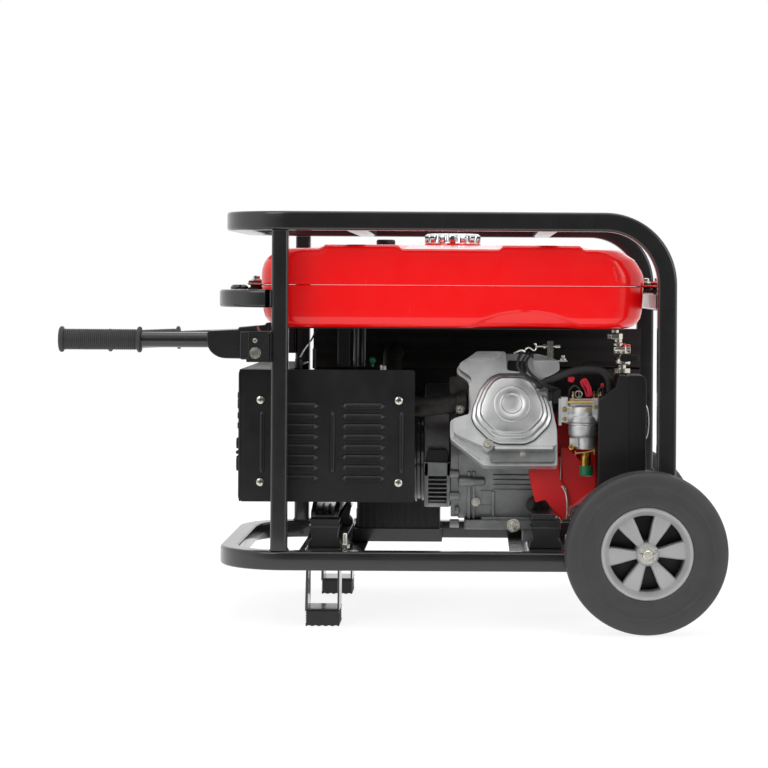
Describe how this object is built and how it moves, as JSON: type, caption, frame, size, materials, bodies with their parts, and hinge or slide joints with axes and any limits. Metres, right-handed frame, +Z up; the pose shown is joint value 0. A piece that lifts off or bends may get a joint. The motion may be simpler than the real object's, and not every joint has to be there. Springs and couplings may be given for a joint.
{
  "type": "portable generator",
  "caption": "Open-frame portable generator with top fuel tank, inclined engine and alternator, two wheels, two legs and folding handles.",
  "frame": {"origin": "floor level below the middle of the whole machine, handle grips to tyres", "axes": "+Z up, +X from the handle and panel end to the wheel end, -Y the carburettor side"},
  "size_m": [1.0484, 0.66, 0.655],
  "materials": {
    "black_powder_coat": "gloss black powder coat",
    "red_tank_paint": "gloss red enamel",
    "dark_red_plastic": "dark red moulded",
    "cast_aluminium": "sand-cast, blasted",
    "bright_aluminium": "die-cast and stamped, bright",
    "zinc_plate": "yellowish bright zinc",
    "chrome_cap": "polished",
    "steel": "turned",
    "dark_iron": "oiled",
    "black_rubber": "matt",
    "tyre_rubber": "satin charcoal",
    "black_plastic": "fine grain",
    "silver_plastic": "metallic grey moulded",
    "red_plastic": "moulded"
  },
  "bodies": {
    "machine": {"side_hoop_front": "black_powder_coat", "panel_post_front": "black_powder_coat", "leg_front": "black_powder_coat", "foot_pad_front": "black_rubber", "alternator_mount_front": "black_rubber", "engine_mount_front": "black_rubber", "side_hoop_rear": "black_powder_coat", "panel_post_rear": "black_powder_coat", "leg_rear": "black_powder_coat", "foot_pad_rear": "black_rubber", "alternator_mount_rear": "black_rubber", "engine_mount_rear": "black_rubber", "end_guard_bar": "black_powder_coat", "tank_support_bar": "black_powder_coat", "top_crossbar_panel_end": "black_powder_coat", "top_crossbar_wheel_end": "black_powder_coat", "alternator_cross_member": "black_powder_coat", "engine_cross_member": "black_powder_coat", "axle": "steel", "tank_upper_shell": "red_tank_paint", "tank_lower_shell": "red_tank_paint", "crankcase": "cast_aluminium", "cylinder_barrel": "cast_aluminium", "cylinder_head_shroud": "bright_aluminium", "rocker_cover": "bright_aluminium", "fan_shroud": "dark_red_plastic", "recoil_housing": "black_powder_coat", "alternator_stator": "cast_aluminium", "alternator_adapter": "cast_aluminium", "carburettor": "cast_aluminium", "air_cleaner": "black_plastic", "muffler": "black_powder_coat", "exhaust_pipe": "dark_iron", "heat_shield": "black_powder_coat", "fuel_valve": "zinc_plate", "fuel_hose": "black_rubber", "breather_hose": "black_rubber", "battery": "black_plastic", "battery_tray": "black_powder_coat", "control_box": "black_powder_coat", "alternator_side_cover": "black_powder_coat", "control_panel": "black_plastic"},
    "wheel_front": {"tyre_front": "tyre_rubber", "wheel_rim_front": "silver_plastic"},
    "wheel_rear": {"tyre_rear": "tyre_rubber", "wheel_rim_rear": "silver_plastic"},
    "handle_front": {"handle_tube_front": "black_powder_coat", "handle_grip_front": "black_rubber"},
    "handle_rear": {"handle_tube_rear": "black_powder_coat", "handle_grip_rear": "black_rubber"},
    "lock_pin_front": {"handle_lock_pin_front": "zinc_plate"},
    "lock_pin_rear": {"handle_lock_pin_rear": "zinc_plate"},
    "cap_gasket": {"fuel_cap_gasket": "black_rubber"},
    "cap": {"fuel_cap": "chrome_cap"},
    "starter_grip": {"recoil_grip": "black_plastic"},
    "crank": {"crankshaft_rotor_and_flywheel": "dark_iron"},
    "choke": {"choke_lever": "red_plastic"},
    "fuel_lever": {"fuel_valve_lever": "zinc_plate"},
    "switch": {"engine_switch": "black_plastic"},
    "breaker": {"breaker_button": "red_plastic"}
  },
  "joints": [
    {"name": "wheel_front_spin", "type": "hinge", "parent": "machine", "child": "wheel_front", "pos_m": [0.3965, -0.29, 0.127], "axis": [0, 1, 0], "continuous": true},
    {"name": "wheel_rear_spin", "type": "hinge", "parent": "machine", "child": "wheel_rear", "pos_m": [0.3965, 0.29, 0.127], "axis": [0, 1, 0], "continuous": true},
    {"name": "handle_front_fold", "type": "hinge", "parent": "machine", "child": "handle_front", "pos_m": [-0.2145, -0.24, 0.432], "axis": [0, -1, 0], "range_deg": [0, 90]},
    {"name": "handle_rear_fold", "type": "hinge", "parent": "machine", "child": "handle_rear", "pos_m": [-0.2145, 0.24, 0.432], "axis": [0, -1, 0], "range_deg": [-2.5, 87.5]},
    {"name": "lock_pin_front_pull", "type": "slide", "parent": "machine", "child": "lock_pin_front", "axis": [0, -1, 0], "range_m": [0, 0.006], "stiffness_N_per_m": 400, "springref_m": -0.004},
    {"name": "lock_pin_rear_pull", "type": "slide", "parent": "machine", "child": "lock_pin_rear", "axis": [0, 1, 0], "range_m": [0, 0.006], "stiffness_N_per_m": 400, "springref_m": -0.004},
    {"name": "fuel_cap_lift", "type": "slide", "parent": "machine", "child": "cap_gasket", "axis": [0, 0, 1], "range_m": [0, 0.06]},
    {"name": "fuel_cap_turn", "type": "hinge", "parent": "cap_gasket", "child": "cap", "pos_m": [0.0905, 0, 0.618], "axis": [0, 0, 1], "range_deg": [0, 90]},
    {"name": "recoil_pull", "type": "slide", "parent": "machine", "child": "starter_grip", "axis": [1, 0, 0], "range_m": [0, 0.5], "stiffness_N_per_m": 30, "springref_m": -0.3},
    {"name": "crank_spin", "type": "hinge", "parent": "machine", "child": "crank", "pos_m": [0.1315, 0.025, 0.27], "axis": [1, 0, 0], "continuous": true},
    {"name": "choke_swing", "type": "hinge", "parent": "machine", "child": "choke", "pos_m": [0.3155, -0.158, 0.366], "axis": [0, 1, 0], "range_deg": [0, 30]},
    {"name": "fuel_lever_turn", "type": "hinge", "parent": "machine", "child": "fuel_lever", "pos_m": [0.3695, -0.144, 0.424], "axis": [0, 1, 0], "range_deg": [0, 90]},
    {"name": "switch_turn", "type": "hinge", "parent": "machine", "child": "switch", "pos_m": [-0.2485, -0.06, 0.35], "axis": [-1, 0, 0], "range_deg": [-45, 45]},
    {"name": "breaker_press", "type": "slide", "parent": "machine", "child": "breaker", "axis": [1, 0, 0], "range_m": [0, 0.004], "stiffness_N_per_m": 600, "springref_m": -0.003}
  ]
}
